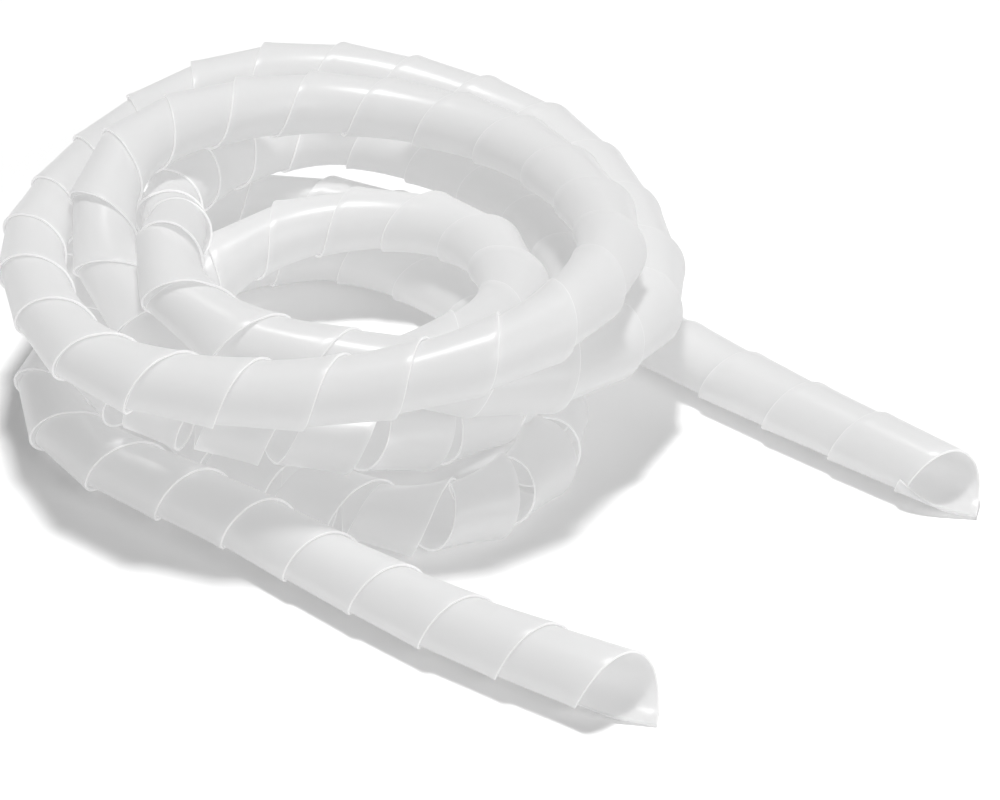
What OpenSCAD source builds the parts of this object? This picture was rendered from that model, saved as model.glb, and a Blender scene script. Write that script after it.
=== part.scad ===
// Coiled tree guard tube: one strip of polyethylene, extruded as a tube and slit on a left-handed helix,
// laid down in a loose coil of five and a half turns with two straight tails on the floor.
// Millimetres. X to the right, Y away, Z up; the origin is on the floor under the middle of the whole part.

/* [Show] */
// Piece to draw ("all" or one name from the list)

/* [Tube] */
// Outside diameter of the closed tube; the whole coil is laid in proportion to it
tube_diameter = 24; // [14:0.5:40]
// Thickness of the strip
wall = 1; // [0.8:0.1:1.4]
// Advance of the slit in one turn, as a multiple of the tube diameter
pitch_ratio = 1.2; // [0.9:0.05:1.4]
// Width of the slit between neighbouring turns of the strip
slit = 0.5; // [0.4:0.1:1.2]
// How much further in the back edge of the strip sits than its front edge
edge_step = 0.6; // [0:0.1:1]

/* [Tails] */
// Straight length of the tail that runs out to the right
far_tail_length = 75; // [50:1:120]
// Straight length of the tail that runs out to the front
near_tail_length = 58; // [50:1:120]

/* [Hidden] */
facets = 14;                        // flat faces of the strip in one turn
joint_gap = 0.4;                    // air between stretches that move against each other
k = tube_diameter / 24;             // proportion of the coil to its 24 mm pattern
R = tube_diameter / 2;              // outside radius
R_in = R - wall;                    // inside radius of the true tubes
pitch = pitch_ratio * tube_diameter;
step = 5 * k;                       // spacing of the points kept along the axis
soften = 3;                         // points to each side that round the axis off

// ---- the lay of the coil: [eighths of a turn, distance from the middle, height of the axis] ----
floor_h = 12.2;                     // height of the axis where the tube lies on the floor
lay = [
    // from the far tail: outer floor turn, climbing to the second layer on the left
    [1, 104, floor_h], [2, 115, floor_h], [2.5, 112, 18], [3, 105, 28], [3.5, 95, 37], [4, 80, 34.5],
    [4.5, 79, 32], [5, 76, 36], [6, 74, 38], [6.5, 76, 34], [7, 79, 28], [7.5, 90, 38], [8, 100, 36],
    // second layer, over the far tail, and over the inside of the top turn on the left
    [9, 108, 38], [10, 127, 38], [10.5, 104, 44], [11, 80, 50], [11.5, 53.5, 61], [12, 45.5, 75],
    [12.5, 54, 76.5], [13, 60, 70.5], [14, 60, 61], [14.5, 67, 60], [15, 93, 52], [15.5, 111, 50.5],
    // outer top turn
    [16, 124, 46], [17, 130, 55], [18, 128, 66], [18.5, 121, 67], [19, 111, 62], [19.5, 104, 60],
    [20, 100, 63], [21, 97, 64], [22, 89, 66], [22.5, 94, 71], [23, 105, 76], [23.5, 107, 76],
    // inner top turn
    [24, 108, 71], [25, 104, 66], [26, 97, 70], [27, 88, 76], [27.5, 82, 73], [28, 73, 57.5],
    // return turn inside the pile, down to the floor
    [28.5, 62, 53], [29, 49, 44], [30, 47, 37], [30.5, 49, 40], [31, 56, 44], [31.5, 63, 44],
    [32, 74, 42], [33, 78, 38], [34, 65, 36], [35, 57, 30], [36, 58, 13], [37, 56, floor_h],
    // floor turn, out to the near tail
    [37.5, 58, floor_h], [38, 69, floor_h], [38.5, 97, floor_h], [39, 102, floor_h],
    [39.5, 96, floor_h], [40, 77, floor_h], [41, 72, floor_h], [42, 83, floor_h], [43, 83, floor_h],
    [43.5, 87, floor_h], [44, 98, floor_h], [44.5, 95, floor_h], [45, 86, floor_h]
];
// where each straight tail leaves the coil, and the way it runs
far_root = [156, -6];
far_way = [76, -64];
near_root = [44, -137];
near_way = [74, -42];
far_cut = 222;                      // angle of the cut end round the far mouth
near_cut = 240;                     // angle of the cut end round the near mouth
lead_sweep = 350;                   // how far each loose end runs round
middle = [-61.5, 26.5, 0];          // middle of the coil, seen from the middle of the whole part

function unit(v) = v / norm(v);
far_dir = concat(unit(far_way), [0]);
near_dir = concat(unit(near_way), [0]);
far_start = concat(far_root, [floor_h]) * k;
near_start = concat(near_root, [floor_h]) * k;
tail_reach = 160 * k;               // the axis runs on this far past each root, always straight

// control points of the axis, from the far tail to the near tail
bends = concat(
    [far_start + far_dir * tail_reach, far_start + far_dir * tail_reach / 2, far_start,
     [121, 28, floor_h] * k],
    [for (s = lay) [s[1] * cos(45 * s[0]), s[1] * sin(45 * s[0]), s[2]] * k],
    [[-34, -77, floor_h] * k, [-10, -96, floor_h] * k, [16, -116, floor_h] * k,
     near_start, near_start + near_dir * tail_reach / 2, near_start + near_dir * tail_reach]);
n_bend = len(bends);
function bend(i) = i < 0 ? 2 * bends[0] - bends[1]
                 : i >= n_bend ? 2 * bends[n_bend - 1] - bends[n_bend - 2] : bends[i];

// smooth curve through the control points, spaced by the root of the chord so that it cannot loop
function knot(a, b) = sqrt(norm(b - a));
function blend3(a, b, ta, tb, t) = (tb - t) / (tb - ta) * a + (t - ta) / (tb - ta) * b;
function curve(p, t1, t2, t3, t) =
    let (a1 = blend3(p[0], p[1], 0, t1, t), a2 = blend3(p[1], p[2], t1, t2, t),
         a3 = blend3(p[2], p[3], t2, t3, t),
         b1 = blend3(a1, a2, 0, t2, t), b2 = blend3(a2, a3, t1, t3, t))
    blend3(b1, b2, t1, t2, t);
fine = 12;
raw = [for (i = [0 : n_bend - 2])
          let (p = [bend(i - 1), bend(i), bend(i + 1), bend(i + 2)],
               t1 = knot(p[0], p[1]), t2 = t1 + knot(p[1], p[2]), t3 = t2 + knot(p[2], p[3]))
          for (j = [0 : fine - 1]) curve(p, t1, t2, t3, t1 + (t2 - t1) * j / fine)];
// running length along the curve
function running(pts) = [for (i = 0, s = 0; i < len(pts);
                              s = s + norm(pts[min(i + 1, len(pts) - 1)] - pts[i]), i = i + 1) s];
raw_s = running(raw);
raw_x = [for (i = [0 : len(raw) - 1]) [raw_s[i], raw[i][0]]];
raw_y = [for (i = [0 : len(raw) - 1]) [raw_s[i], raw[i][1]]];
raw_z = [for (i = [0 : len(raw) - 1]) [raw_s[i], raw[i][2]]];
count = floor(raw_s[len(raw_s) - 1] / step);
even = [for (i = [0 : count - 1])
           [lookup(i * step, raw_x), lookup(i * step, raw_y), lookup(i * step, raw_z)]];
function at(l, i) = i < 0 ? l[0] + (l[1] - l[0]) * i
                  : i >= len(l) ? l[len(l) - 1] + (l[len(l) - 1] - l[len(l) - 2]) * (i - len(l) + 1)
                  : l[i];
function total(l, a, b) = b < a ? [0, 0, 0] : at(l, a) + total(l, a + 1, b);
function softened(l) = [for (i = [0 : len(l) - 1]) total(l, i - soften, i + soften) / (2 * soften + 1)];
axis = [for (p = softened(softened(even))) p + middle * k];

// ---- place, direction and bend of the axis at running length s ----
function place(s) = let (i = floor(s / step), f = s / step - i) at(axis, i) * (1 - f) + at(axis, i + 1) * f;
function along(s) = unit(place(s + 1.5 * step) - place(s - 1.5 * step));
function inward(s) = unit(cross([0, 0, 1], along(s)));
function upward(s) = cross(along(s), inward(s));
function bending(s) = (along(s + 1.5 * step) - along(s - 1.5 * step)) / (3 * step);
function near_s(k8) =                // running length of the coil point at k8 eighths of a turn
    let (target = [for (i = [0 : len(lay) - 1]) if (lay[i][0] == k8) i + 4][0]) raw_s[target * fine];

// running lengths of the cuts between stretches
far_s = raw_s[2 * fine];                             // root of the far tail
near_s0 = raw_s[(n_bend - 3) * fine];                // root of the near tail
// each tail carries on straight from its root
function level(v) = unit([v[0], v[1], 0]);
far_out = level(-along(far_s));
near_out = level(along(near_s0));
far_from = place(far_s);
near_from = place(near_s0);
cut_a = near_s(8);                                   // first turn | second turn
cut_b = near_s(17);                                  // second turn | outer top turn
cut_c = near_s(21);                                  // outer top turn | inner top turn
cut_d = near_s(28);                                  // inner top turn | return turn
cut_e = near_s(37);                                  // return turn | floor turn

// ---- a stretch of the slit tube between running lengths s0 and s1 ----
// One straight rule of the strip: its middle sits at length pitch * u, its angle falls with u
// (left-handed). On the outside of a bend the turns part; on the inside they close up edge to edge.
function clamp(v, a, b) = min(max(v, a), b);
function rule(u, s0, s1) =
    let (mid = pitch * u, ang = -360 * u,
         side = cos(ang) * inward(mid) + sin(ang) * upward(mid),
         half = (pitch - slit) / 2 * min(1, 1 / (1 - bending(mid) * side * R)),
         a = clamp(mid - half, s0, s1), b = clamp(mid + half, s0, s1),
         ra = R - edge_step * clamp((mid + half - a) / (2 * half), 0, 1),
         rb = R - edge_step * clamp((mid + half - b) / (2 * half), 0, 1),
         sa = cos(ang) * inward(a) + sin(ang) * upward(a),
         sb = cos(ang) * inward(b) + sin(ang) * upward(b))
    [b - a, [place(a) + sa * ra, place(b) + sb * rb,
             place(b) + sb * (rb - wall), place(a) + sa * (ra - wall)]];
module strip(s0, s1, u_first = -1e6, u_last = 1e6) {
    lo = max(ceil((s0 / pitch - 0.6) * facets), u_first * facets);
    hi = min(floor((s1 / pitch + 0.6) * facets), u_last * facets);
    skin([for (j = [lo : hi]) let (r = rule(j / facets, s0, s1)) if (r[0] > 0.3) each r[1]]);
}
// close a row of four-cornered sections into a solid
module skin(pts) {
    n = len(pts) / 4;
    polyhedron(points = pts,
        faces = concat([[0, 1, 2, 3]],
            [for (i = [0 : n - 2]) for (c = [0 : 3])
                let (a = 4 * i + c, b = 4 * i + (c + 1) % 4)
                each [[a, a + 4, b], [b, a + 4, b + 4]]],
            [[4 * n - 1, 4 * n - 2, 4 * n - 3, 4 * n - 4]]),
        convexity = 10);
}

// ---- a true round tube with the same helical slit, drawn along +Z from 0 to len ----
module slit_tube(len, phase) {
    m = 36;
    turns = len / pitch + 2;
    difference() {
        cylinder(r = R, h = len, $fn = 96);
        translate([0, 0, -1]) cylinder(r = R_in, h = len + 2, $fn = 96);
        skin([for (j = [0 : ceil(turns * m)])
            let (u = j / m - 1, z = pitch * (u + phase - floor(phase)), c = cos(-360 * u), s = sin(-360 * u))
            each [[c * (R_in - 1), s * (R_in - 1), z - slit / 2], [c * (R + 1), s * (R + 1), z - slit / 2],
                  [c * (R + 1), s * (R + 1), z + slit / 2], [c * (R_in - 1), s * (R_in - 1), z + slit / 2]]]);
    }
}
// stand +Z along a level direction, with +X to its left and +Y up
module lay_along(start, dir) {
    left = cross([0, 0, 1], dir);
    multmatrix([[left[0], 0, dir[0], start[0]], [left[1], 0, dir[1], start[1]],
                [0, 1, 0, start[2]], [0, 0, 0, 1]]) children();
}

milky = [0.9, 0.91, 0.9, 0.85];
shaded = [0.82, 0.84, 0.84, 0.85];

// outer floor turn, from the far tail's root up to the second layer
module first_turn() { color(milky) strip(far_s + joint_gap / 2, cut_a); }
// second layer: over the far tail, round the back and across the inside of the pile
module second_turn() { color(shaded) strip(cut_a, cut_b - joint_gap / 2); }
// outer turn of the top layer
module outer_top_turn() { color(milky) strip(cut_b + joint_gap / 2, cut_c); }
// inner turn of the top layer
module inner_top_turn() { color(shaded) strip(cut_c, cut_d - joint_gap / 2); }
// turn that drops inside the pile back to the floor
module return_turn() { color(milky) strip(cut_d + joint_gap / 2, cut_e); }
// inner floor turn, out to the near tail's root
module floor_turn() { color(shaded) strip(cut_e, near_s0 - joint_gap / 2); }
// straight tail to the right
module far_tail() {
    color(milky) lay_along(far_from + far_out * joint_gap / 2, far_out)
        slit_tube(far_tail_length * k - joint_gap, 0.5 + (far_s - joint_gap / 2) / pitch);
}
// loose strip end at the far mouth
module far_lead() {
    color(shaded) lay_along(far_from + far_out * (far_tail_length * k + joint_gap / 2), far_out)
        lead(far_cut);
}
// straight tail to the front
module near_tail() {
    color(milky) lay_along(near_from + near_out * joint_gap / 2, near_out)
        slit_tube(near_tail_length * k - joint_gap, 0.5 - (near_s0 + joint_gap / 2) / pitch);
}
// loose strip end at the near mouth
module near_lead() {
    color(shaded) lay_along(near_from + near_out * (near_tail_length * k + joint_gap / 2), near_out)
        lead(near_cut);
}
// last strip turn, cut across the strip at the given angle round the tube; its other side keeps clear
// of the tail in one plane
module lead(end_angle) {
    m = 24;
    pts = [for (j = [0 : m])
        let (c = cos(end_angle - lead_sweep * j / m), s = sin(end_angle - lead_sweep * j / m),
             far_edge = 0.5 + (pitch - slit - 0.5) * j / m)
        each [[c * R_in, s * R_in, 0], [c * R, s * R, 0], [c * R, s * R, far_edge],
              [c * R_in, s * R_in, far_edge]]];
    skin(pts);
}

first_turn();
second_turn();
outer_top_turn();
inner_top_turn();
return_turn();
floor_turn();
far_tail();
far_lead();
near_tail();
near_lead();
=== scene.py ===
"""Coiled tree guard tube: a milky polyethylene strip that is extruded as a tube and slit along a helix.

The strip is laid out flat first, with the distance along the tube, the angle round it and the distance
from its axis stored on every point. A Geometry Nodes tree then wraps it round the axis of the coil. All
sizes are in millimetres until a mesh is made; MM turns them into metres.
"""

from __future__ import annotations

import logging
import math
from dataclasses import dataclass, field
from enum import Enum

import bpy
import numpy as np
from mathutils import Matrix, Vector

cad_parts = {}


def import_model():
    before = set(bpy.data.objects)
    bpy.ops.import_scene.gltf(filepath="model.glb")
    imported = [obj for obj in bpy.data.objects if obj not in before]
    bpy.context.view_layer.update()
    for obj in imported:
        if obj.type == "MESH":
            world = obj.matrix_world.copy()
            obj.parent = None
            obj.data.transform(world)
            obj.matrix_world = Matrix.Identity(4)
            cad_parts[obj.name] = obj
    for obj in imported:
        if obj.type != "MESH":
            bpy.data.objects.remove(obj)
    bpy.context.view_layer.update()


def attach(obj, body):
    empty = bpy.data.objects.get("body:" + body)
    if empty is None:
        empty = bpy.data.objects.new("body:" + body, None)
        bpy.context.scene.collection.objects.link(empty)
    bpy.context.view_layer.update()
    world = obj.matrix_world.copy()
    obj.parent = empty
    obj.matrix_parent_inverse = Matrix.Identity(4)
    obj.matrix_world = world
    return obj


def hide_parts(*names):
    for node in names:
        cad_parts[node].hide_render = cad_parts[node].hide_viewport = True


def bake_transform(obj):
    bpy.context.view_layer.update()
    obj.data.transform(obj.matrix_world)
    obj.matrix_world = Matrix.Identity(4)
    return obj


MM = 0.001
TURN = 2 * math.pi
EIGHTH = 45.0  # degrees between two stations of the coil
UP = np.array([0.0, 0.0, 1.0])

log = logging.getLogger("tree_guard_tube")


class Part(Enum):
    """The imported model's own names for the stretches that move."""

    PILE = "coil_pile"
    TOP = "top_turns"
    FAR_TAIL = "far_tail_body"
    FAR_LEAD = "far_lead_body"
    NEAR_TAIL = "near_tail_body"
    NEAR_LEAD = "near_lead_body"


class Lay(Enum):
    """How a stretch of the tube lies."""

    COILED = "coiled"
    LOOSE = "loose"


def linear(hex_colour: str) -> tuple[float, float, float, float]:
    """Turn an sRGB hex colour into linear light.

    Args:
        hex_colour: Six hex digits after a hash, such as "#e4e7e6".

    Returns:
        Red, green, blue and an alpha of 1.
    """
    values = [int(hex_colour[i : i + 2], 16) / 255 for i in (1, 3, 5)]
    light = [v / 12.92 if v <= 0.04045 else ((v + 0.055) / 1.055) ** 2.4 for v in values]
    return (light[0], light[1], light[2], 1.0)


def add_node(
    tree: bpy.types.NodeTree, kind: str, links: dict | None = None, **settings: object
) -> bpy.types.Node:
    """Add a node with its settings and links.

    Args:
        tree: The node tree that gets the node.
        kind: The node's type, such as "ShaderNodeMath".
        links: Input name or number to the output socket or the plain value that feeds it.
        **settings: The node's own properties.

    Returns:
        The new node.
    """
    node = tree.nodes.new(kind)
    for name, value in settings.items():
        setattr(node, name, value)
    for key, source in (links or {}).items():
        if isinstance(source, bpy.types.NodeSocket):
            tree.links.new(source, node.inputs[key])
        else:
            node.inputs[key].default_value = source
    return node


def unit(v: np.ndarray) -> np.ndarray:
    """Scale vectors to length 1.

    Args:
        v: One vector in each row.

    Returns:
        The same directions, each of length 1.
    """
    return v / np.linalg.norm(v, axis=-1, keepdims=True)


def smooth_step(x: np.ndarray) -> np.ndarray:
    """Ease from 0 to 1 as x goes from 0 to 1.

    Args:
        x: Any values; those outside 0 to 1 give the nearer end.

    Returns:
        The eased values.
    """
    t = np.clip(x, 0, 1)
    return t * t * (3 - 2 * t)


# ---------------------------------------------------------------------------------------------------
# The way the tube lies
# ---------------------------------------------------------------------------------------------------
FLOOR_H = 12.2  # height of the axis where the tube lies on the floor

# [eighths of a turn, distance from the coil's middle, height of the axis], as in the part's source
LAY = [
    (1, 104, FLOOR_H), (2, 115, FLOOR_H), (2.5, 112, 18), (3, 105, 28), (3.5, 95, 37), (4, 80, 34.5),
    (4.5, 79, 32), (5, 76, 36), (6, 74, 38), (6.5, 76, 34), (7, 79, 28), (7.5, 90, 38), (8, 100, 36),
    (9, 108, 38), (10, 127, 38), (10.5, 104, 44), (11, 80, 50), (11.5, 53.5, 61), (12, 45.5, 75),
    (12.5, 54, 76.5), (13, 60, 70.5), (14, 60, 61), (14.5, 67, 60), (15, 93, 52), (15.5, 111, 50.5),
    (16, 124, 46), (17, 130, 55), (18, 128, 66), (18.5, 121, 67), (19, 111, 62), (19.5, 104, 60),
    (20, 100, 63), (21, 97, 64), (22, 89, 66), (22.5, 94, 71), (23, 105, 76), (23.5, 107, 76),
    (24, 108, 71), (25, 104, 66), (26, 97, 70), (27, 88, 76), (27.5, 82, 73), (28, 73, 57.5),
    (28.5, 62, 53), (29, 49, 44), (30, 47, 37), (30.5, 49, 40), (31, 56, 44), (31.5, 63, 44),
    (32, 74, 42), (33, 78, 38), (34, 65, 36), (35, 57, 30), (36, 58, 13), (37, 56, FLOOR_H),
    (37.5, 58, FLOOR_H), (38, 69, FLOOR_H), (38.5, 97, FLOOR_H), (39, 102, FLOOR_H),
    (39.5, 96, FLOOR_H), (40, 77, FLOOR_H), (41, 72, FLOOR_H), (42, 83, FLOOR_H), (43, 83, FLOOR_H),
    (43.5, 87, FLOOR_H), (44, 98, FLOOR_H), (44.5, 95, FLOOR_H), (45, 86, FLOOR_H),
]


@dataclass
class CoilAxis:
    """The line down the middle of the tube, from the far mouth to the near mouth."""

    middle: tuple[float, float, float] = (-61.5, 26.5, 0.0)
    far_root: tuple[float, float] = (156, -6)
    far_way: tuple[float, float] = (76, -64)
    near_root: tuple[float, float] = (44, -137)
    near_way: tuple[float, float] = (74, -42)
    far_hidden: tuple[float, float] = (121, 28)  # between the far root and the coil
    near_hidden: tuple[tuple[float, float], ...] = ((-34, -77), (-10, -96), (16, -116))  # coil to near root
    reach: float = 160  # how far the line runs on past each root
    step: float = 5  # spacing of the points kept along the line
    soften: int = 3  # points to each side that round the line off
    fine: int = 12  # points between two stations
    split: int = 4  # finer points between two kept ones
    half_span: float = 7.5  # length to each side over which directions are taken
    stations: np.ndarray = field(init=False)
    param: np.ndarray = field(init=False)
    line: np.ndarray = field(init=False)

    def __post_init__(self) -> None:
        """Lay the line out."""
        self.stations = self._stations()
        raw = self._curve(self.stations)
        lengths = np.concatenate([[0], np.cumsum(np.linalg.norm(np.diff(raw, axis=0), axis=1))])
        kept = np.arange(int(lengths[-1] // self.step)) * self.step
        even = np.stack([np.interp(kept, lengths, raw[:, i]) for i in range(3)], axis=1)
        axis = self._softened(self._softened(even)) + np.array(self.middle)
        many = np.arange((len(axis) - 1) * self.split + 1) / self.split
        self.param = many * self.step
        self.line = self._cubic(axis, many)

    def _stations(self) -> np.ndarray:
        """List the points that the line is drawn through.

        Returns:
            One point in each row, about the coil's middle.
        """
        far_dir = unit(np.array([*self.far_way, 0.0]))
        near_dir = unit(np.array([*self.near_way, 0.0]))
        far = np.array([*self.far_root, FLOOR_H])
        near = np.array([*self.near_root, FLOOR_H])
        rows = [far + far_dir * self.reach, far + far_dir * self.reach / 2, far, [*self.far_hidden, FLOOR_H]]
        for eighth, radius, height in LAY:
            turn = math.radians(EIGHTH * eighth)
            rows.append([radius * math.cos(turn), radius * math.sin(turn), height])
        rows += [[x, y, FLOOR_H] for x, y in self.near_hidden]
        rows += [near, near + near_dir * self.reach / 2, near + near_dir * self.reach]
        return np.array(rows, float)

    def _curve(self, stations: np.ndarray) -> np.ndarray:
        """Return a smooth curve through the stations.

        Args:
            stations: The points it goes through.

        Returns:
            Points along it, spaced by the root of the chord so that it can't loop.
        """
        ends = [2 * stations[0] - stations[1], *stations, 2 * stations[-1] - stations[-2]]
        points = []
        for p0, p1, p2, p3 in zip(ends, ends[1:], ends[2:], ends[3:]):
            t1 = math.sqrt(np.linalg.norm(p1 - p0))
            t2 = t1 + math.sqrt(np.linalg.norm(p2 - p1))
            t3 = t2 + math.sqrt(np.linalg.norm(p3 - p2))
            for j in range(self.fine):
                t = t1 + (t2 - t1) * j / self.fine
                a1 = (t1 - t) / t1 * p0 + t / t1 * p1
                a2 = (t2 - t) / (t2 - t1) * p1 + (t - t1) / (t2 - t1) * p2
                a3 = (t3 - t) / (t3 - t2) * p2 + (t - t2) / (t3 - t2) * p3
                b1 = (t2 - t) / t2 * a1 + t / t2 * a2
                b2 = (t3 - t) / (t3 - t1) * a2 + (t - t1) / (t3 - t1) * a3
                points.append((t2 - t) / (t2 - t1) * b1 + (t - t1) / (t2 - t1) * b2)
        return np.array(points)

    def _softened(self, points: np.ndarray) -> np.ndarray:
        """Average points with their neighbours, carried on straight past both ends.

        Args:
            points: Evenly spaced points along a line.

        Returns:
            As many points, on a rounder line.
        """
        count = np.arange(1, self.soften + 1)[:, None]
        before = (points[0] - (points[1] - points[0]) * count)[::-1]
        after = points[-1] + (points[-1] - points[-2]) * count
        padded = np.concatenate([before, points, after])
        window = 2 * self.soften + 1
        evenly = np.ones(window) / window
        return np.stack([np.convolve(padded[:, i], evenly, "valid") for i in range(3)], axis=1)

    @staticmethod
    def _cubic(points: np.ndarray, where: np.ndarray) -> np.ndarray:
        """Return the points of a cubic through evenly spaced points.

        Args:
            points: The evenly spaced points.
            where: Places along them, counted in points.

        Returns:
            One point for each place.
        """
        i = np.clip(where.astype(int), 0, len(points) - 2)
        t = (where - i)[:, None]
        p1, p2 = points[i], points[i + 1]
        p0 = np.where((i > 0)[:, None], points[np.maximum(i - 1, 0)], 2 * p1 - p2)
        last = len(points) - 1
        p3 = np.where((i + 2 <= last)[:, None], points[np.minimum(i + 2, last)], 2 * p2 - p1)
        slope = p2 - p0
        curve = 2 * p0 - 5 * p1 + 4 * p2 - p3
        twist = 3 * p1 - p0 - 3 * p2 + p3
        return 0.5 * (2 * p1 + slope * t + curve * t**2 + twist * t**3)

    def place(self, s: np.ndarray) -> np.ndarray:
        """Find points of the axis.

        Args:
            s: Running lengths.

        Returns:
            One point for each.
        """
        return np.stack([np.interp(s, self.param, self.line[:, i]) for i in range(3)], axis=-1)

    def along(self, s: np.ndarray) -> np.ndarray:
        """Find directions of the axis.

        Args:
            s: Running lengths.

        Returns:
            One direction of length 1 for each.
        """
        h = self.half_span
        return unit(self.place(s + h) - self.place(s - h))

    def rate(self, s: np.ndarray) -> np.ndarray:
        """Compare the true length of the line with the running length.

        Args:
            s: Running lengths.

        Returns:
            Millimetres of line for each millimetre of running length.
        """
        h = self.half_span
        return np.linalg.norm(self.place(s + h) - self.place(s - h), axis=-1) / (2 * h)

    def bending(self, s: np.ndarray) -> np.ndarray:
        """Find how the axis bends.

        Args:
            s: Running lengths.

        Returns:
            The change of direction for each millimetre, pointing to the inside of the bend.
        """
        h = self.half_span
        return (self.along(s + h) - self.along(s - h)) / (2 * h)

    def true_length(self, s: np.ndarray) -> np.ndarray:
        """Turn running lengths into lengths along the drawn line.

        Args:
            s: Running lengths.

        Returns:
            How far along the drawn line each one is.
        """
        pieces = np.linalg.norm(np.diff(self.line, axis=0), axis=1)
        return np.interp(s, self.param, np.concatenate([[0], np.cumsum(pieces)]))

    def guide(self) -> bpy.types.Object:
        """Make the curve that the strip is wrapped round.

        Returns:
            A curve object, which is removed once the strip is made.
        """
        curve = bpy.data.curves.new("axis_guide", "CURVE")
        curve.dimensions = "3D"
        spline = curve.splines.new("POLY")
        spline.points.add(len(self.line) - 1)
        values = np.concatenate([self.line * MM, np.ones((len(self.line), 1))], axis=1)
        spline.points.foreach_set("co", values.astype(np.float32).ravel())
        guide = bpy.data.objects.new("axis_guide", curve)
        bpy.context.scene.collection.objects.link(guide)
        return guide


# ---------------------------------------------------------------------------------------------------
# Finishes
# ---------------------------------------------------------------------------------------------------
@dataclass(frozen=True)
class MilkyPolyethylene:
    """Natural low-density polyethylene, extruded and slit: milky, translucent, with a satin skin."""

    body: str = "#dcdcdc"
    cut_edge: str = "#f6f6f6"  # lighter colour along the slit edges
    ior: float = 1.51
    roughness: float = 0.30
    scatter: float = 0.3
    painted_glow: float = 0.57  # painted glow: the wall emits light of its own colour, standing in for light scattered back and forth inside the coil beyond the bounces followed
    lets_through: float = 0.58  # share of the light that goes on through the thin wall
    scatter_reach: float = 2.0  # mm that light travels inside the wall
    drag_line: float = 2.2  # mm between the faint lines of the extruder's die
    drag_detail: float = 3.0
    drag_strength: float = 0.05
    drag_depth: float = 0.2  # mm
    edge_attribute: str = "edge"

    def make(self) -> bpy.types.Material:
        """Build the material.

        Returns:
            The finished material.
        """
        material = bpy.data.materials.new("milky_polyethylene")
        material.use_nodes = True
        tree = material.node_tree
        tree.nodes.clear()
        edge = add_node(tree, "ShaderNodeAttribute", attribute_name=self.edge_attribute)
        colour = add_node(
            tree,
            "ShaderNodeMix",
            {0: edge.outputs["Fac"], 6: linear(self.body), 7: linear(self.cut_edge)},
            data_type="RGBA",
        )
        coords = add_node(tree, "ShaderNodeTexCoord")
        grain = add_node(
            tree,
            "ShaderNodeTexNoise",
            {
                "Vector": coords.outputs["Object"],
                "Scale": 1 / (self.drag_line * MM),
                "Detail": self.drag_detail,
            },
        )
        bump = add_node(
            tree,
            "ShaderNodeBump",
            {
                "Height": grain.outputs[0],
                "Strength": self.drag_strength,
                "Distance": self.drag_depth * MM,
            },
        )
        skin = add_node(
            tree,
            "ShaderNodeBsdfPrincipled",
            {
                "Base Color": colour.outputs[2],
                "Roughness": self.roughness,
                "IOR": self.ior,
                "Subsurface Weight": self.scatter,
                "Subsurface Radius": (1.0, 1.0, 1.0),
                "Subsurface Scale": self.scatter_reach * MM,
                # painted glow: the whole wall emits its own body colour, which lifts its shaded parts
                "Emission Color": linear(self.body),
                "Emission Strength": self.painted_glow,
                "Normal": bump.outputs[0],
            },
        )
        through = add_node(
            tree, "ShaderNodeBsdfTranslucent", {"Color": colour.outputs[2], "Normal": bump.outputs[0]}
        )
        wall = add_node(
            tree, "ShaderNodeMixShader", {0: self.lets_through, 1: skin.outputs[0], 2: through.outputs[0]}
        )
        add_node(tree, "ShaderNodeOutputMaterial", {"Surface": wall.outputs[0]})
        return material


@dataclass(frozen=True)
class WhiteBoard:
    """Matt white studio board under the object."""

    colour: str = "#ffffff"
    roughness: float = 0.9
    sheen: float = 0.1  # strength of the mirror-like part

    def make(self) -> bpy.types.Material:
        """Build the material.

        Returns:
            The finished material.
        """
        material = bpy.data.materials.new("white_board")
        material.use_nodes = True
        tree = material.node_tree
        tree.nodes.clear()
        skin = add_node(
            tree,
            "ShaderNodeBsdfPrincipled",
            {
                "Base Color": linear(self.colour),
                "Roughness": self.roughness,
                "Specular IOR Level": self.sheen,
            },
        )
        add_node(tree, "ShaderNodeOutputMaterial", {"Surface": skin.outputs[0]})
        return material


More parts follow.
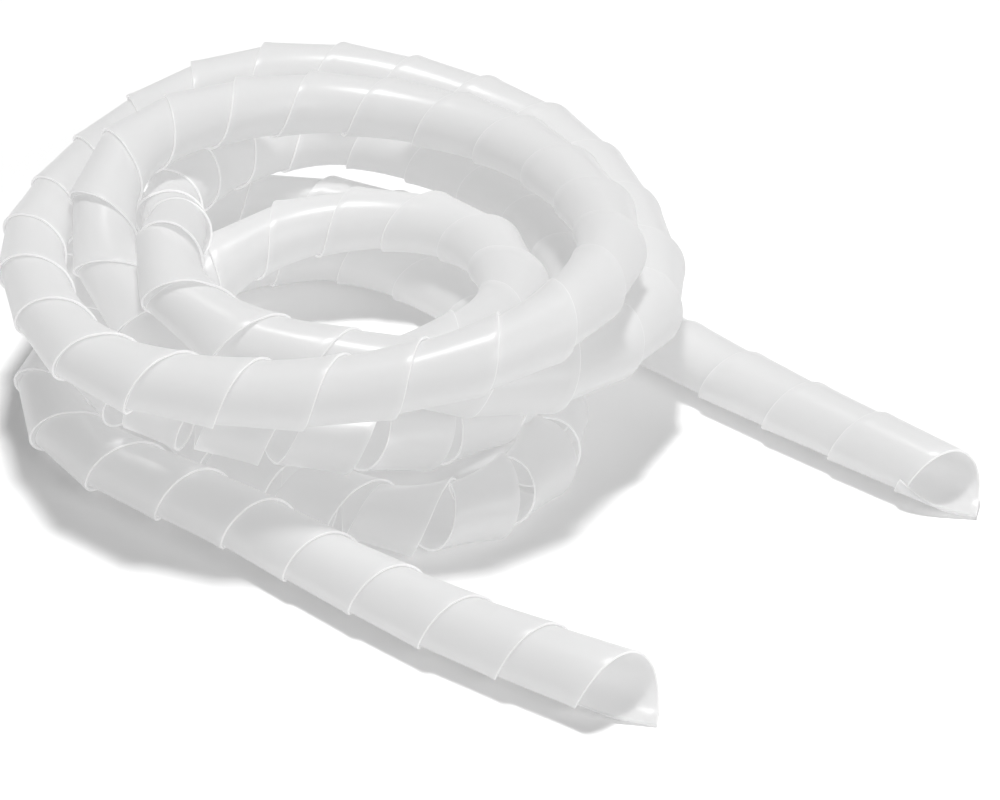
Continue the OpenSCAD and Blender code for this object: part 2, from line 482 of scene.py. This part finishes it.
# ---------------------------------------------------------------------------------------------------
# The strip
# ---------------------------------------------------------------------------------------------------
@dataclass
class WrapTree:
    """Geometry Nodes that wrap a flat strip round the axis of the coil."""

    name: str = "wrap_strip_round_axis"

    def make(self) -> bpy.types.NodeTree:
        """Build the tree.

        Returns:
            The tree, with inputs for the axis, the unevenness of the wall, its length and the finish.
        """
        tree = bpy.data.node_groups.new(self.name, "GeometryNodeTree")
        sockets = tree.interface
        sockets.new_socket("Strip", in_out="INPUT", socket_type="NodeSocketGeometry")
        sockets.new_socket("Axis", in_out="INPUT", socket_type="NodeSocketObject")
        sockets.new_socket("Unevenness", in_out="INPUT", socket_type="NodeSocketFloat")
        sockets.new_socket("Wave length", in_out="INPUT", socket_type="NodeSocketFloat")
        sockets.new_socket("Seed", in_out="INPUT", socket_type="NodeSocketFloat")
        sockets.new_socket("Finish", in_out="INPUT", socket_type="NodeSocketMaterial")
        sockets.new_socket("Strip", in_out="OUTPUT", socket_type="NodeSocketGeometry")
        given = add_node(tree, "NodeGroupInput").outputs
        axis = add_node(tree, "GeometryNodeObjectInfo", {"Object": given["Axis"]})
        running = self._stored(tree, "running")
        angle = self._stored(tree, "angle")
        from_axis = self._stored(tree, "from_axis")
        sample = add_node(
            tree,
            "GeometryNodeSampleCurve",
            {"Curves": axis.outputs["Geometry"], "Length": running},
            mode="LENGTH",
            use_all_curves=True,
        )
        tangent = sample.outputs["Tangent"]
        inward = self._vector(tree, "NORMALIZE", self._vector(tree, "CROSS_PRODUCT", tuple(UP), tangent))
        upward = self._vector(tree, "CROSS_PRODUCT", tangent, inward)
        cosine = add_node(tree, "ShaderNodeMath", {0: angle}, operation="COSINE").outputs[0]
        sine = add_node(tree, "ShaderNodeMath", {0: angle}, operation="SINE").outputs[0]
        outward = self._vector(
            tree, "ADD", self._scaled(tree, inward, cosine), self._scaled(tree, upward, sine)
        )
        waves = add_node(tree, "ShaderNodeMath", {0: running, 1: given["Wave length"]}, operation="DIVIDE")
        round_it = add_node(tree, "ShaderNodeCombineXYZ", {0: waves.outputs[0], 1: cosine, 2: sine})
        noise = add_node(
            tree,
            "ShaderNodeTexNoise",
            {"Vector": round_it.outputs[0], "W": given["Seed"], "Scale": 1.0, "Detail": 1.0},
            noise_dimensions="4D",
        )
        centred = add_node(tree, "ShaderNodeMath", {0: noise.outputs[0], 1: 0.5}, operation="SUBTRACT")
        radius = add_node(
            tree,
            "ShaderNodeMath",
            {0: centred.outputs[0], 1: given["Unevenness"], 2: from_axis},
            operation="MULTIPLY_ADD",
        )
        place = self._vector(
            tree, "ADD", sample.outputs["Position"], self._scaled(tree, outward, radius.outputs[0])
        )
        moved = add_node(tree, "GeometryNodeSetPosition", {"Geometry": given["Strip"], "Position": place})
        smooth = add_node(tree, "GeometryNodeSetShadeSmooth", {0: moved.outputs[0]})
        real = add_node(tree, "GeometryNodeRealizeInstances", {0: smooth.outputs[0]})
        dressed = add_node(
            tree, "GeometryNodeSetMaterial", {"Geometry": real.outputs[0], "Material": given["Finish"]}
        )
        add_node(tree, "NodeGroupOutput", {0: dressed.outputs[0]})
        return tree

    @staticmethod
    def _stored(tree: bpy.types.NodeTree, name: str) -> bpy.types.NodeSocket:
        """Read a value stored on each point.

        Args:
            tree: The node tree.
            name: The name it is stored under.

        Returns:
            The socket that gives the value.
        """
        node = add_node(tree, "GeometryNodeInputNamedAttribute", {"Name": name}, data_type="FLOAT")
        return node.outputs[0]

    @staticmethod
    def _vector(
        tree: bpy.types.NodeTree, operation: str, a: object, b: object = None
    ) -> bpy.types.NodeSocket:
        """Work out one vector from one or two.

        Args:
            tree: The node tree.
            operation: The operation, as Blender names it.
            a: The first vector or its socket.
            b: The second, where the operation takes one.

        Returns:
            The socket that gives the result.
        """
        links = {0: a} if b is None else {0: a, 1: b}
        return add_node(tree, "ShaderNodeVectorMath", links, operation=operation).outputs[0]

    @staticmethod
    def _scaled(
        tree: bpy.types.NodeTree, vector: bpy.types.NodeSocket, by: bpy.types.NodeSocket
    ) -> bpy.types.NodeSocket:
        """Scale a vector.

        Args:
            tree: The node tree.
            vector: The vector.
            by: The number it is multiplied by.

        Returns:
            The socket that gives the scaled vector.
        """
        links = {0: vector, "Scale": by}
        return add_node(tree, "ShaderNodeVectorMath", links, operation="SCALE").outputs[0]


@dataclass(frozen=True)
class Bend:
    """Where a stretch turns from one moving part to the next: running lengths of its two ends."""

    start_part: Part
    end_part: Part
    start: float
    end: float


@dataclass(frozen=True)
class Stretch:
    """One stretch of the tube, counted in turns of the strip from the far mouth."""

    name: str
    first: float
    last: float
    rides: Part | None = None
    bends: Bend | None = None
    replaces: tuple[str, ...] = ()
    slant_first: tuple[float, float] = (0.0, 0.0)
    slant_last: tuple[float, float] = (0.0, 0.0)


@dataclass
class SlitStrip:
    """The strip of polyethylene and the stretches it is made in."""

    axis: CoilAxis
    diameter: float = 24.0
    wall: float = 0.9
    pitch: float = 28.8
    width: float = 32.5  # wider than a turn's advance, so the turns tuck under each other
    phase: float = 0.3  # turns by which the strip is wound on, so that the mouths end where they do
    rows: int = 56  # rows of points in a turn
    columns: int = 11  # points across the outer face
    rounding: int = 3  # points round each slit edge
    cone: float = 1.15  # how much further in the back edge sits than the front edge, on a straight
    bent_cone: float = 1.6  # the same in a tight bend, where the turns slide under each other
    tight: float = 0.3  # radius over bend radius that counts as a tight bend
    lip: float = 0.2  # how far the front edge turns up
    lip_share: float = 0.25  # share of half the width that turns up
    slant_run: float = 0.7  # turns over which a slanting end fades into the strip
    light_edge_width: float = 0.5  # mm of lighter colour along a slit edge
    unevenness: float = 0.7  # mm that the wall swells and sinks
    wave_length: float = 42.0  # mm from one swelling to the next
    seed: float = 4.0
    squeeze_limits: tuple[float, float] = (0.5, 2.0)  # share of its straight spacing in a bend
    pulled_open: tuple[tuple[float, float, float], ...] = (  # first turn, last turn, mm further apart
        (19.0, 24.5, 8.0),
        (99.0, 106.0, 8.0),
    )
    cord_overhang: float = 0.25  # share of the width by which a measured length passes its end turns

    def _profile(self) -> tuple[np.ndarray, np.ndarray]:
        """Return the strip's cut face as a closed row of points.

        Returns:
            The place across the strip and the depth below its outer face, both in millimetres.
        """
        r = self.wall / 2
        flat = np.linspace(-self.width / 2 + r, self.width / 2 - r, self.columns)
        arc = np.linspace(0, math.pi, self.rounding + 2)[1:-1]
        front = (self.width / 2 - r + r * np.sin(arc), r - r * np.cos(arc))
        back = (-front[0], self.wall - front[1])
        across = np.concatenate([flat, front[0], flat[::-1], back[0]])
        outer, inner = np.zeros(self.columns), np.full(self.columns, self.wall)
        depth = np.concatenate([outer, front[1], inner, back[1]])
        return across, depth

    def _flat(self, stretch: Stretch) -> bpy.types.Mesh:
        """Lay a stretch of the strip out flat, with its wrapped place stored on each point.

        Args:
            stretch: The stretch to make.

        Returns:
            A closed mesh of the flat strip.
        """
        across, depth = self._profile()
        v = (across / (self.width / 2))[None, :]
        count = math.ceil((stretch.last - stretch.first) * self.rows)
        row = np.linspace(stretch.first, stretch.last, count + 1)[:, None]
        near_first = smooth_step(1 - (row - stretch.first) / self.slant_run)
        near_last = smooth_step(1 - (stretch.last - row) / self.slant_run)
        turn = row + self._slant(stretch.slant_first, v) * near_first
        turn = turn + self._slant(stretch.slant_last, v) * near_last
        middle = self.pitch * (turn + self.phase)
        angle = -TURN * turn
        width = self.width - self._pulled_open(turn)
        along = self.axis.along(middle)
        inward = unit(np.cross(UP, along))
        side = np.cos(angle)[..., None] * inward + np.sin(angle)[..., None] * np.cross(along, inward)
        bend = self.axis.bending(middle) * self.diameter / 2
        squeeze = np.clip(1 - (bend * side).sum(-1), *self.squeeze_limits)
        half = width / 2 / (self.axis.rate(middle) * squeeze)
        tightness = smooth_step(np.linalg.norm(bend, axis=-1) / self.tight)
        cone = self.cone + (self.bent_cone - self.cone) * tightness
        lip = self.lip * smooth_step((v - 1 + self.lip_share) / self.lip_share)
        fanned = np.maximum(0, squeeze - 1) / (self.diameter / 2)
        spring = (v * self.width / 2) ** 2 / 2 * fanned / squeeze  # the strip stays straight along the tube
        from_axis = self.diameter / 2 - cone * (1 - v) / 2 + lip + spring - depth[None, :]
        running = self.axis.true_length(middle + v * half)
        # lighter colour blended in along each slit edge
        edge = smooth_step((np.abs(across) - self.width / 2 + self.light_edge_width) / self.light_edge_width)
        edge = np.broadcast_to(edge[None, :], turn.shape)
        flat = np.stack(
            np.broadcast_arrays(turn * math.pi * self.diameter, across[None, :], -depth[None, :]), axis=-1
        )
        mesh = self._tube_of(flat * MM, f"{stretch.name}_flat")
        stored = {"running": running * MM, "angle": angle, "from_axis": from_axis * MM, "edge": edge}
        for name, values in stored.items():
            store = mesh.attributes.new(name, "FLOAT", "POINT")
            store.data.foreach_set("value", np.broadcast_to(values, turn.shape).astype(np.float32).ravel())
        return mesh

    def _pulled_open(self, turn: np.ndarray) -> np.ndarray:
        """Find how much further apart than elsewhere the turns stand.

        Args:
            turn: Turns of the strip from the far mouth.

        Returns:
            The extra spacing at each, in millimetres.
        """
        gap = np.zeros_like(turn)
        for first, last, wide in self.pulled_open:
            gap = gap + wide * smooth_step(turn - first + 1) * smooth_step(last - turn + 1)
        return gap

    @staticmethod
    def _slant(ends: tuple[float, float], v: np.ndarray) -> np.ndarray:
        """Find how far a slanting end is moved.

        Args:
            ends: Turns that the back edge and the front edge are moved.
            v: Place across the strip, from -1 at the back edge to 1 at the front edge.

        Returns:
            The turns each place is moved.
        """
        return ends[0] + (ends[1] - ends[0]) * (v + 1) / 2

    @staticmethod
    def _tube_of(points: np.ndarray, name: str) -> bpy.types.Mesh:
        """Join rows of points, each a closed ring, into a closed mesh.

        Args:
            points: Rows by ring points by three.
            name: The mesh's name.

        Returns:
            The mesh, with both ends closed.
        """
        rows, ring = points.shape[:2]
        index = np.arange(rows * ring).reshape(rows, ring)
        following = np.roll(index, -1, axis=1)
        quads = np.stack([index[:-1], following[:-1], following[1:], index[1:]], axis=-1).reshape(-1, 4)
        faces = [*quads.tolist(), index[0][::-1].tolist(), index[-1].tolist()]
        mesh = bpy.data.meshes.new(name)
        mesh.from_pydata(points.reshape(-1, 3).tolist(), [], faces)
        mesh.update()
        return mesh

    def _wrapped(
        self,
        stretch: Stretch,
        guide: bpy.types.Object,
        tree: bpy.types.NodeTree,
        finish: bpy.types.Material,
    ) -> bpy.types.Object:
        """Wrap a stretch round the axis and keep the result as a plain mesh.

        Args:
            stretch: The stretch to make.
            guide: The curve it is wrapped round.
            tree: The wrapping tree.
            finish: Its material.

        Returns:
            The finished object, at the origin.
        """
        flat = bpy.data.objects.new(f"{stretch.name}_flat", self._flat(stretch))
        bpy.context.scene.collection.objects.link(flat)
        wrap = flat.modifiers.new("wrap", "NODES")
        wrap.node_group = tree
        values = {
            "Axis": guide,
            "Unevenness": self.unevenness * MM,
            "Wave length": self.wave_length * MM,
            "Seed": self.seed,
            "Finish": finish,
        }
        for item in tree.interface.items_tree:
            if item.in_out == "INPUT" and item.name in values:
                wrap[item.identifier] = values[item.name]
        graph = bpy.context.evaluated_depsgraph_get()
        mesh = bpy.data.meshes.new_from_object(flat.evaluated_get(graph))
        mesh.name = stretch.name
        source = flat.data
        flat.modifiers.remove(wrap)
        bpy.data.objects.remove(flat)
        bpy.data.meshes.remove(source)
        for name in ("running", "angle", "from_axis"):
            mesh.attributes.remove(mesh.attributes[name])
        self._face_outwards(mesh)
        wrapped = bpy.data.objects.new(stretch.name, mesh)
        bpy.context.scene.collection.objects.link(wrapped)
        return wrapped

    @staticmethod
    def _face_outwards(mesh: bpy.types.Mesh) -> None:
        """Turn the faces round if the closed mesh's signed volume is negative.

        Args:
            mesh: A closed mesh.
        """
        corners = np.zeros(len(mesh.vertices) * 3)
        mesh.vertices.foreach_get("co", corners)
        corners = corners.reshape(-1, 3)
        mesh.calc_loop_triangles()
        triangles = np.zeros(len(mesh.loop_triangles) * 3, int)
        mesh.loop_triangles.foreach_get("vertices", triangles)
        a, b, c = (corners[triangles.reshape(-1, 3)[:, i]] for i in range(3))
        if (np.cross(a, b) * c).sum() < 0:
            mesh.flip_normals()

    def build(self, stretches: list[Stretch], finish: bpy.types.Material) -> dict[str, bpy.types.Object]:
        """Make every stretch and hang each riding one on its moving part.

        Args:
            stretches: The stretches, in any order.
            finish: The material they all wear.

        Returns:
            Each stretch's object by its name.
        """
        guide = self.axis.guide()
        tree = WrapTree().make()
        made = {s.name: self._wrapped(s, guide, tree, finish) for s in stretches}
        curve = guide.data
        bpy.data.objects.remove(guide)
        bpy.data.curves.remove(curve)
        for stretch in stretches:
            piece = made[stretch.name]
            self._hang(piece, stretch)
            log.info("%s: %d points", piece.name, len(piece.data.vertices))
        return made

    def _hang(self, piece: bpy.types.Object, stretch: Stretch) -> None:
        """Ride a piece with its moving part, or leave a bending piece where it lies, and let it stand for its
        solids.

        Args:
            piece: The stretch's object.
            stretch: The stretch.
        """
        if stretch.bends:
            bend = stretch.bends
            start, end = (tuple(self.axis.place(np.array(s)) * MM) for s in (bend.start, bend.end))
            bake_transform(piece)
        else:
            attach(piece, stretch.rides.value)
        if stretch.replaces:
            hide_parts(*stretch.replaces)

    def declare(
        self,
        stretch: Stretch,
        from_last: bool = False,
    ) -> float:
        """Measure a stretch as a length of free tube.

        Args:
            stretch: The stretch.
            from_last: True where it leaves the coil at its last turn.

        Returns:
            Its length in metres.
        """
        ends = np.array([stretch.first, stretch.last])
        overhang = self.cord_overhang * self.width
        start, stop = self.pitch * (ends + self.phase) + np.array([-overhang, overhang])
        count = int((stop - start) / self.axis.step) + 2
        path = self.axis.place(np.linspace(start, stop, count)) * MM
        if from_last:
            path = path[::-1]
        length = float(np.linalg.norm(np.diff(path, axis=0), axis=1).sum())
        return length


@dataclass
class GuardTube:
    """The whole coiled tube, from the far mouth to the near mouth.

    Stretches meet at the underside of the tube, where a strip turn passes below the axis.
    """

    far_first: float = 2.25  # the strip's end at the far mouth
    far_joint: float = 4.25
    far_end: float = 12.25
    lift_in: float = 47.25
    top_first: float = 52.25
    top_last: float = 78.25
    lift_out: float = 83.25
    near_first: float = 112.25
    near_joint: float = 121.25
    near_last: float = 123.25  # the strip's end at the near mouth
    far_slant: tuple[float, float] = (0.0, -0.25)
    near_slant: tuple[float, float] = (0.15, 0.0)
    clear: float = 1.0  # mm between a turn's edge and the start of a bend
    tail_bend: float = 60.0  # mm of tube over which a tail swings
    past_mouth: float = 5.0  # mm beyond the strip's end at which the peel is complete

    def stretches(self, strip: SlitStrip) -> list[Stretch]:
        """List the stretches that the tube is made in.

        Args:
            strip: The strip, for the running length of a turn.

        Returns:
            The stretches from the far mouth to the near mouth.
        """

        def at(turn: float) -> float:
            """Find where a turn's middle is.

            Args:
                turn: The turn.

            Returns:
                Its running length.
            """
            return strip.pitch * (turn + strip.phase)

        half = strip.width / 2 + self.clear
        pile, top = Part.PILE, Part.TOP
        far_root = at(self.far_joint) + half
        near_root = at(self.near_joint) - half
        far_tip = at(self.far_first) - self.past_mouth
        near_tip = at(self.near_last) + self.past_mouth
        far_bend = Bend(pile, Part.FAR_TAIL, far_root + self.tail_bend, far_root)
        far_peel = Bend(Part.FAR_TAIL, Part.FAR_LEAD, at(self.far_joint) - half, far_tip)
        rise = Bend(pile, top, at(self.lift_in) + half, at(self.top_first) - half)
        fall = Bend(pile, top, at(self.lift_out) - half, at(self.top_last) + half)
        near_bend = Bend(pile, Part.NEAR_TAIL, near_root - self.tail_bend, near_root)
        near_peel = Bend(Part.NEAR_TAIL, Part.NEAR_LEAD, at(self.near_joint) + half, near_tip)
        return [
            Stretch("far_mouth", self.far_first, self.far_joint, bends=far_peel, replaces=("far_lead",),
                    slant_first=self.far_slant),
            Stretch("far_tail_tube", self.far_joint, self.far_end, bends=far_bend, replaces=("far_tail",)),
            Stretch("lower_turns", self.far_end, self.lift_in, rides=pile,
                    replaces=("first_turn", "second_turn")),
            Stretch("rise_to_top", self.lift_in, self.top_first, bends=rise),
            Stretch("top_turns_tube", self.top_first, self.top_last, rides=top,
                    replaces=("outer_top_turn", "inner_top_turn")),
            Stretch("fall_from_top", self.top_last, self.lift_out, bends=fall),
            Stretch("inner_turns", self.lift_out, self.near_first, rides=pile,
                    replaces=("return_turn", "floor_turn")),
            Stretch("near_tail_tube", self.near_first, self.near_joint, bends=near_bend,
                    replaces=("near_tail",)),
            Stretch("near_mouth", self.near_joint, self.near_last, bends=near_peel, replaces=("near_lead",),
                    slant_last=self.near_slant),
        ]

    def build(self, strip: SlitStrip, finish: bpy.types.Material) -> None:
        """Make the tube and log the sum of its free lengths.

        Args:
            strip: The strip it is made of.
            finish: Its material.
        """
        stretches = {s.name: s for s in self.stretches(strip)}
        made = strip.build(list(stretches.values()), finish)
        total = 0.0
        for name, stretch in stretches.items():
            if name.endswith("mouth"):
                continue
            total += strip.declare(
                stretch,
                from_last=name.startswith("far_tail"),
            )
        log.info("declared length of tube: %.3f m", total)


# ---------------------------------------------------------------------------------------------------
# The studio
# ---------------------------------------------------------------------------------------------------
@dataclass(frozen=True)
class Lamp:
    """One soft box, with its place and size in metres and its power in watts."""

    name: str
    place: tuple[float, float, float]
    size: tuple[float, float]
    power: float


@dataclass
class Studio:
    """White board, soft light and camera."""

    look_at: tuple[float, float, float] = (6.5, 8.5, 12.5)
    elevation: float = 36.0  # degrees
    distance: float = 1050.0
    field_of_view: float = 19.6  # degrees
    clip: tuple[float, float] = (0.01, 20.0)  # metres
    board: float = 6.0  # metres
    sky: float = 0.24  # strength of the light that the room gives
    backdrop: float = 1.0  # strength at which the camera sees the room
    lamps: tuple[Lamp, ...] = (
        Lamp("back_soft_box", (0.0, 0.20, 1.9), (0.25, 0.25), 27.0),
        Lamp("front_soft_box", (1.0, -1.1, 0.9), (0.8, 0.8), 8.0),
    )

    def build(self, floor_height: float) -> None:
        """Set the studio up.

        Args:
            floor_height: Height of the board's face, in metres.
        """
        mesh = bpy.data.meshes.new("floor")
        h = self.board / 2
        corners = [(-h, -h, floor_height), (h, -h, floor_height), (h, h, floor_height), (-h, h, floor_height)]
        mesh.from_pydata(corners, [], [(0, 1, 2, 3)])
        mesh.materials.append(WhiteBoard().make())
        floor = bpy.data.objects.new("floor", mesh)
        bpy.context.scene.collection.objects.link(floor)
        for lamp in self.lamps:
            self._lamp(lamp)
        self._sky()
        self._camera()
        log.info("studio: floor, %d soft boxes, camera", len(self.lamps))

    def _lamp(self, lamp: Lamp) -> None:
        """Hang one soft box, facing the object.

        Args:
            lamp: The soft box.
        """
        light = bpy.data.lights.new(lamp.name, "AREA")
        light.shape = "RECTANGLE"
        light.size, light.size_y = lamp.size
        light.energy = lamp.power
        box = bpy.data.objects.new(lamp.name, light)
        box.location = lamp.place
        aim = Vector(self.look_at) * MM - Vector(lamp.place)
        box.rotation_euler = aim.to_track_quat("-Z", "Y").to_euler()
        bpy.context.scene.collection.objects.link(box)

    def _sky(self) -> None:
        """Fill the room with even white light."""
        world = bpy.data.worlds.new("studio_white")
        world.use_nodes = True
        tree = world.node_tree
        tree.nodes.clear()
        ray = add_node(tree, "ShaderNodeLightPath")
        strength = add_node(
            tree, "ShaderNodeMapRange", {0: ray.outputs["Is Camera Ray"], 3: self.sky, 4: self.backdrop}
        )
        white = add_node(
            tree, "ShaderNodeBackground", {"Color": linear("#ffffff"), "Strength": strength.outputs[0]}
        )
        add_node(tree, "ShaderNodeOutputWorld", {"Surface": white.outputs[0]})
        bpy.context.scene.world = world
        bpy.context.scene.view_settings.view_transform = "Standard"  # keeps the white board white

    def _camera(self) -> None:
        """Place the camera in front of the coil, looking down on it."""
        data = bpy.data.cameras.new("camera")
        data.lens = data.sensor_width / 2 / math.tan(math.radians(self.field_of_view / 2))
        data.clip_start, data.clip_end = self.clip
        camera = bpy.data.objects.new("camera", data)
        e = math.radians(self.elevation)
        back = Vector((0, -math.cos(e), math.sin(e)))
        camera.location = Vector(self.look_at) * MM + back * self.distance * MM
        camera.rotation_euler = (-back).to_track_quat("-Z", "Y").to_euler()
        bpy.context.scene.collection.objects.link(camera)
        bpy.context.scene.camera = camera


def main() -> None:
    """Build the tube and its studio."""
    logging.basicConfig(level=logging.INFO, format="%(name)s: %(message)s")
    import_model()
    Studio().build(floor_height=0.0)
    GuardTube().build(SlitStrip(CoilAxis()), MilkyPolyethylene().make())


if __name__ == "__main__":
    main()
